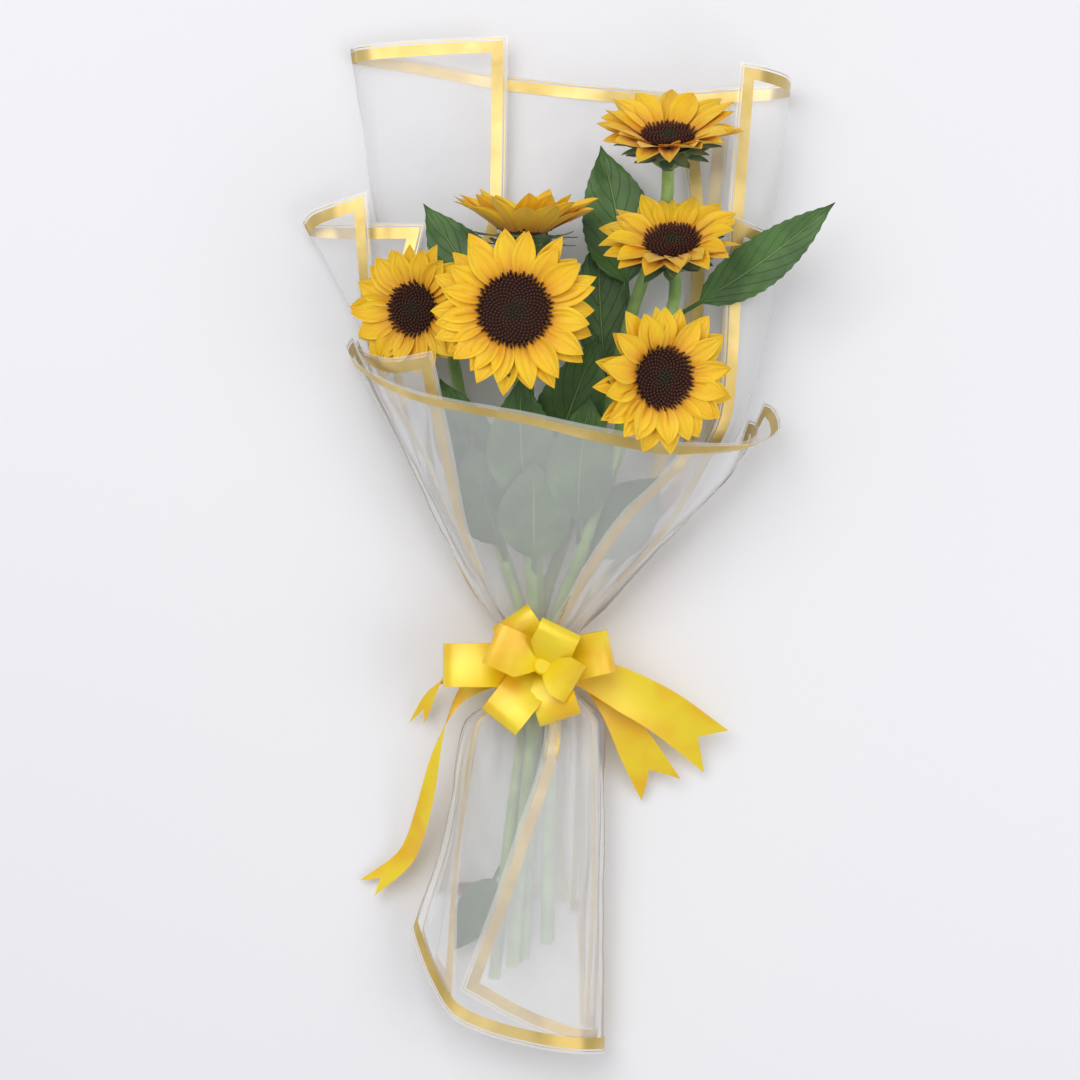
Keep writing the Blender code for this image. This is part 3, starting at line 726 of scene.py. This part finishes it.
def build_leaf(name, leaf, settings, material):
    """A pointed leaf with a toothed edge, a folded midrib and a short stalk."""
    chance = random.Random(name + " leaf")
    flower, place, tip, width, arch, fold = leaf
    line = through(stem_line(HEADS[flower]), 101)
    spot = Vector(line[round(place * 100)])
    target = Vector(tip)
    outward = target - spot
    along_stem = (Vector(line[round(place * 100) + 1]) - spot).normalized()
    outward -= outward.project(along_stem)
    base = spot + outward.normalized() * (STEM_RADIUS - 0.4)
    side = (target - base).normalized().cross(Vector((0, 0, 1))).normalized()
    width *= settings.leaf_fullness
    rows = []
    steps = 34
    sway = chance.uniform(-4, 4)
    for step in range(steps + 1):
        share = step / steps
        middle = base.lerp(target, share) + Vector((0, 0, arch * 4 * share * (1 - share)))
        middle += side * sway * math.sin(math.pi * share)
        if share < STALK_SHARE:
            half = 1.6
        else:
            grown = (share - STALK_SHARE) / (1 - STALK_SHARE)
            half = 1.4 + width / 2 * (math.sin(math.pi * grown ** 0.72) ** 0.85)
            half += TOOTH * (step % 2)
        half = max(half * (1 - share ** 12), 0.2)
        row = []
        for column in range(-5, 6):
            across = column / 5
            lift = fold * abs(across) ** 1.2 * half / width * 2
            ripple = 1.1 * math.sin(share * 21 + column) * abs(across) ** 2
            row.append(middle + side * half * across + Vector((0, 0, lift + ripple)))
        rows.append(row)
    mesh = make_mesh(f"leaf_{name}_blade", rows)
    add_piece(f"leaf_{name}_blade", mesh, [material], f"leaf_{name}")


# ---------------------------------------------------------------- the film

# Lines of the printed border, in from the sheet's edge: clear, a fine gold line, clear, the band.
EDGE_STEPS = (0.0, 1.6, 2.2, 3.6, 11.8)
GOLD_STRIPS = {1, 3}
SHEET_COLUMNS = 36
SHEET_ROWS = 70


def edge_places(total, count):
    """Places along a length: the border's lines at both ends and even steps between."""
    scale = min(1.0, total * 0.2 / EDGE_STEPS[-1])
    first = [step * scale for step in EDGE_STEPS]
    inner = list(np.linspace(first[-1], total - first[-1], count)[1:-1])
    return first + inner + [total - place for place in reversed(first)]


def resample(points, places):
    """Points at given distances along a line."""
    line = np.array(points, dtype=float)
    lengths = np.concatenate([[0.0], np.cumsum(np.linalg.norm(np.diff(line, axis=0), axis=1))])
    return [np.array([np.interp(place, lengths, line[:, axis]) for axis in range(3)]) for place in places]


def line_length(points):
    """Length of a line through points."""
    return float(np.sum(np.linalg.norm(np.diff(np.array(points), axis=0), axis=1)))


def crumple(point, normal, seed):
    """Pleats either side of the waist and loose creases over the whole sheet."""
    from_waist = abs(point.y - WAIST_Y)
    pull = math.exp(-((from_waist - 46) / 30) ** 2)
    turn = math.atan2(point.z - WAIST_Z, point.x - WAIST_X)
    pleat = math.sin(turn * 17 + seed + 2 * noise.noise(point * 0.02)) * 2.0 * pull
    spread = min(1.0, from_waist / 60)
    crease = 1 - abs(noise.noise(Vector((point.x * 0.03, point.y * 0.014, seed + 9)))) * 5
    loose = noise.noise(Vector((point.x * 0.02, point.y * 0.011, seed))) * 2.2 * spread
    loose += max(crease, 0.0) * 0.9 * spread
    moved = point + normal * (pleat + loose)
    moved.z = max(moved.z, 0.15)
    return moved


def build_sheet(name, sections, materials):
    """One sheet of film with its printed border."""
    across = []
    for section in sections:
        fine = spans(section, [10] * (len(section) - 1))
        across.append(resample(fine, edge_places(line_length(fine), SHEET_COLUMNS)))
    strips = []
    for column in range(len(across[0])):
        fine = spans([line[column] for line in across], [12] * (len(across) - 1))
        strips.append(resample(fine, edge_places(line_length(fine), SHEET_ROWS)))
    rows = [[Vector(strip[row]) for strip in strips] for row in range(len(strips[0]))]
    seed = len(name) * 1.7
    height = len(rows)
    width = len(rows[0])
    moved = []
    for row in range(height):
        line = []
        for column in range(width):
            right = rows[row][min(column + 1, width - 1)] - rows[row][max(column - 1, 0)]
            down = rows[min(row + 1, height - 1)][column] - rows[max(row - 1, 0)][column]
            line.append(crumple(rows[row][column], right.cross(down).normalized(), seed))
        moved.append(line)
    mesh = make_mesh(f"{name}_film", moved)
    for face in mesh.polygons:
        row, column = divmod(face.index, width - 1)
        strip = min(row, height - 2 - row, column, width - 2 - column)
        face.material_index = 1 if strip in GOLD_STRIPS else 0
    piece = add_piece(f"{name}_film", mesh, materials, name)


# ---------------------------------------------------------------- the bow

def ribbon_mesh(name, centres, sides, cup, notch=0.0):
    """A band of satin along its middle line; a notch cuts its end to two points."""
    rows = []
    last = len(centres) - 1
    for index in range(last + 1):
        row = []
        for column in range(-6, 7):
            across = column / 6
            place = index * (1 - notch * (1 - abs(across)) * (index / last) ** 3)
            whole = min(int(place), last - 1)
            centre = centres[whole].lerp(centres[whole + 1], place - whole)
            side = sides[whole].lerp(sides[whole + 1], place - whole)
            row.append(centre + side * across + Vector((0, 0, cup * (across * across - 0.4))))
        rows.append(row)
    return make_mesh(name, rows)


def build_loop(name, loop, settings):
    """One loop of the bow: out from the knot, round its end and back over itself."""
    heading, length, lift, height, tilt = loop
    chance = random.Random(name)
    out = Vector((math.cos(math.radians(heading)), math.sin(math.radians(heading)), 0))
    side = Vector((-out.y, out.x, 0))
    rise = Matrix.Rotation(math.radians(-tilt), 3, side)
    middle = Vector((BOW_MIDDLE.x, BOW_MIDDLE.y, BOW_FLOOR + lift + height / 2))
    outline = [(3, -1.6, 0), (length * 0.3, -height * 0.4, 0), (length * 0.7, -height * 0.55, 0),
               (length * 0.95, -height * 0.36, 0), (length * 1.03, height * 0.02, 0),
               (length * 0.95, height * 0.5, 0), (length * 0.68, height * 0.72, 0),
               (length * 0.3, height * 0.5, 0), (3, 1.6, 0)]
    line = through(outline, 40)
    centres = []
    sides = []
    half_width = settings.ribbon_width / 2 / MM
    for index, (reach, level, _) in enumerate(line):
        share = index / (len(line) - 1)
        half = min(3.0 + max(reach, 0.0) * 0.62, half_width)
        turn = chance.uniform(-1, 1) + 16 * math.sin(share * math.pi)
        roll = Matrix.Rotation(math.radians(turn), 3, out)
        centres.append(middle + rise @ (out * reach + Vector((0, 0, level))))
        sides.append(roll @ side * half)
    return ribbon_mesh("loop", centres, sides, 1.4)


def build_tail(name, tail):
    """One tail: off the band, along its points and down to its swallow-tail end."""
    place, points, widths, across = tail
    angle = math.radians(place)
    start = (WAIST_X + TAIL_RADIUS * math.cos(angle), WAIST_Y,
             WAIST_Z + TAIL_RADIUS * math.sin(angle))
    line = through([start] + points, 44)
    centres = [Vector(point) for point in line]
    sides = []
    for index in range(len(line)):
        share = index / (len(line) - 1)
        side = Vector((0, 1, 0)).lerp(Vector(across), share).normalized()
        half = np.interp(share, np.linspace(0, 1, len(widths)), widths) / 2
        sides.append(side * half)
    return ribbon_mesh(f"tail_{name}", centres, sides, 0.8, TAIL_NOTCHES[name])


# ---------------------------------------------------------------- settings a user would change

class BunchSettings(bpy.types.PropertyGroup):
    """Sizes and colours of the bunch."""
    petal_color: bpy.props.FloatVectorProperty(
        name="Petal", description="Colour of the petals", subtype="COLOR", default=(0.95, 0.62, 0.006))
    petal_foot_color: bpy.props.FloatVectorProperty(
        name="Petal foot", description="Colour at the foot of the petals", subtype="COLOR",
        default=(0.80, 0.30, 0.004))
    petal_width: bpy.props.FloatProperty(
        name="Petal width", description="Width of a petal", subtype="DISTANCE", unit="LENGTH",
        default=0.0185)
    disc_color: bpy.props.FloatVectorProperty(
        name="Disc", description="Colour of the florets", subtype="COLOR", default=(0.028, 0.009, 0.006))
    leaf_color: bpy.props.FloatVectorProperty(
        name="Leaf", description="Colour of the leaves", subtype="COLOR", default=(0.04, 0.105, 0.02))
    leaf_fullness: bpy.props.FloatProperty(
        name="Leaf fullness", description="Width of the leaves against their solids", default=1.35)
    film_color: bpy.props.FloatVectorProperty(
        name="Film", description="Colour of the frosted film", subtype="COLOR", default=(0.95, 0.95, 0.97))
    film_veil: bpy.props.FloatProperty(
        name="Film veil", description="How much a layer of film hides", subtype="FACTOR", default=0.32)
    gold_color: bpy.props.FloatVectorProperty(
        name="Gold edge", description="Colour of the printed edge", subtype="COLOR",
        default=(0.60, 0.43, 0.13))
    satin_color: bpy.props.FloatVectorProperty(
        name="Satin", description="Colour of the ribbon", subtype="COLOR", default=(0.93, 0.70, 0.012))
    ribbon_width: bpy.props.FloatProperty(
        name="Ribbon width", description="Width of the ribbon", subtype="DISTANCE", unit="LENGTH",
        default=0.032)


class BUNCH_OT_flowers(bpy.types.Operator):
    """Make the petals, discs, calyxes and stems"""
    bl_idname = "bunch.flowers"
    bl_label = "Flowers"

    def execute(self, context):
        settings = context.scene.bunch
        petal = petal_material(settings)
        floret = floret_material(settings)
        bract = green_material("bract_green", (0.045, 0.10, 0.022), (0.12, 0.22, 0.06), 0.6, 60.0)
        stem = green_material("stem_green", (0.16, 0.30, 0.06), (0.34, 0.50, 0.16), 0.5, 40.0)
        for name, head in HEADS.items():
            petals = build_petals(name, head, settings)
            add_piece(f"petals_{name}", petals, [petal], f"flower_{name}_petals")
            add_piece(f"disc_{name}", build_disc(name, head), [floret], f"flower_{name}_disc")
            add_piece(f"calyx_{name}", build_calyx(name, head), [bract], f"flower_{name}_calyx")
            build_stem(name, head, stem)
        return {"FINISHED"}


class BUNCH_OT_leaves(bpy.types.Operator):
    """Make the leaves"""
    bl_idname = "bunch.leaves"
    bl_label = "Leaves"

    def execute(self, context):
        settings = context.scene.bunch
        material = leaf_material(settings)
        for name, leaf in LEAVES.items():
            build_leaf(name, leaf, settings, material)
        return {"FINISHED"}


class BUNCH_OT_film(bpy.types.Operator):
    """Make the sheets of film with their gold edges"""
    bl_idname = "bunch.film"
    bl_label = "Film wrap"

    def execute(self, context):
        settings = context.scene.bunch
        materials = [film_material(settings), gold_material(settings)]
        for name, sections in film_sections().items():
            build_sheet(name, sections, materials)
        return {"FINISHED"}


class BUNCH_OT_bow(bpy.types.Operator):
    """Make the bow, its tails and the finish of the bands"""
    bl_idname = "bunch.bow"
    bl_label = "Bow"

    def execute(self, context):
        settings = context.scene.bunch
        satin = satin_material(settings)
        for name, loop in LOOPS.items():
            mesh = build_loop(name, loop, settings)
            add_piece(f"satin_loop_{name}", mesh, [satin], f"bow_loop_{name}")
        for name, tail in TAILS.items():
            piece = add_piece(f"satin_tail_{name}", build_tail(name, tail), [satin],
                              f"ribbon_tail_{name}")
        for node, material in (("ribbon_band", satin), ("bow_knot", satin), ("stem_tie", twine_material())):
            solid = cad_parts[node]
            solid.data.materials.clear()
            solid.data.materials.append(material)
        return {"FINISHED"}


class BUNCH_OT_stage(bpy.types.Operator):
    """Make the floor, the soft lights and the camera"""
    bl_idname = "bunch.stage"
    bl_label = "Stage"

    def execute(self, context):
        scene = context.scene
        scene.view_settings.view_transform = "Standard"
        floor_mesh = bpy.data.meshes.new("floor")
        shape = bmesh.new()
        bmesh.ops.create_grid(shape, x_segments=1, y_segments=1, size=4.0)
        shape.to_mesh(floor_mesh)
        shape.free()
        make = Maker("pale_floor")
        tone = make.noise(2.0, 2.0)
        floor_mesh.materials.append(make.finish(
            Base_Color=make.mix(tone, (0.85, 0.85, 0.875), (0.87, 0.87, 0.89)), Roughness=0.9))
        floor = bpy.data.objects.new("floor", floor_mesh)
        floor.location.z = -0.0005
        scene.collection.objects.link(floor)
        world = bpy.data.worlds.new("soft_room")
        world.use_nodes = True
        background = world.node_tree.nodes["Background"]
        background.inputs["Color"].default_value = (0.97, 0.97, 1.0, 1.0)
        background.inputs["Strength"].default_value = 0.55
        scene.world = world
        for name, place, size, power in (("soft_top", (-0.6, 0.9, 2.2), 1.6, 26.0),
                                         ("soft_side", (1.3, -0.3, 1.6), 1.2, 9.0)):
            light = bpy.data.lights.new(name, "AREA")
            light.size = size
            light.energy = power
            lamp = bpy.data.objects.new(name, light)
            lamp.location = place
            lamp.rotation_euler = (Vector((0, 0, 0)) - Vector(place)).to_track_quat("-Z", "Y").to_euler()
            scene.collection.objects.link(lamp)
        lens = bpy.data.cameras.new("camera")
        lens.sensor_width = 36.0
        lens.lens = 182.7
        lens.clip_end = 50.0
        camera = bpy.data.objects.new("camera", lens)
        camera.location = (-0.020, 0.0037, 4.0)
        scene.collection.objects.link(camera)
        scene.camera = camera
        return {"FINISHED"}


class BUNCH_PT_panel(bpy.types.Panel):
    """Settings of the bunch and a button for each group of pieces."""
    bl_idname = "BUNCH_PT_panel"
    bl_label = "Bunch of Sunflowers"
    bl_space_type = "VIEW_3D"
    bl_region_type = "UI"
    bl_category = "Bunch"

    def draw(self, context):
        settings = context.scene.bunch
        for key in BunchSettings.__annotations__:
            self.layout.prop(settings, key)
        for operator in OPERATORS:
            self.layout.operator(operator.bl_idname)


OPERATORS = (BUNCH_OT_flowers, BUNCH_OT_leaves, BUNCH_OT_film, BUNCH_OT_bow, BUNCH_OT_stage)
CLASSES = (BunchSettings, *OPERATORS, BUNCH_PT_panel)


def register():
    """Adds the settings, operators and panel."""
    for item in CLASSES:
        bpy.utils.register_class(item)
    bpy.types.Scene.bunch = bpy.props.PointerProperty(type=BunchSettings)


def unregister():
    """Takes them away again."""
    del bpy.types.Scene.bunch
    for item in reversed(CLASSES):
        bpy.utils.unregister_class(item)


def main():
    """Makes every piece and the stage."""
    register()
    bpy.ops.bunch.flowers()
    bpy.ops.bunch.leaves()
    bpy.ops.bunch.film()
    bpy.ops.bunch.bow()
    bpy.ops.bunch.stage()


if __name__ == "__main__":
    main()
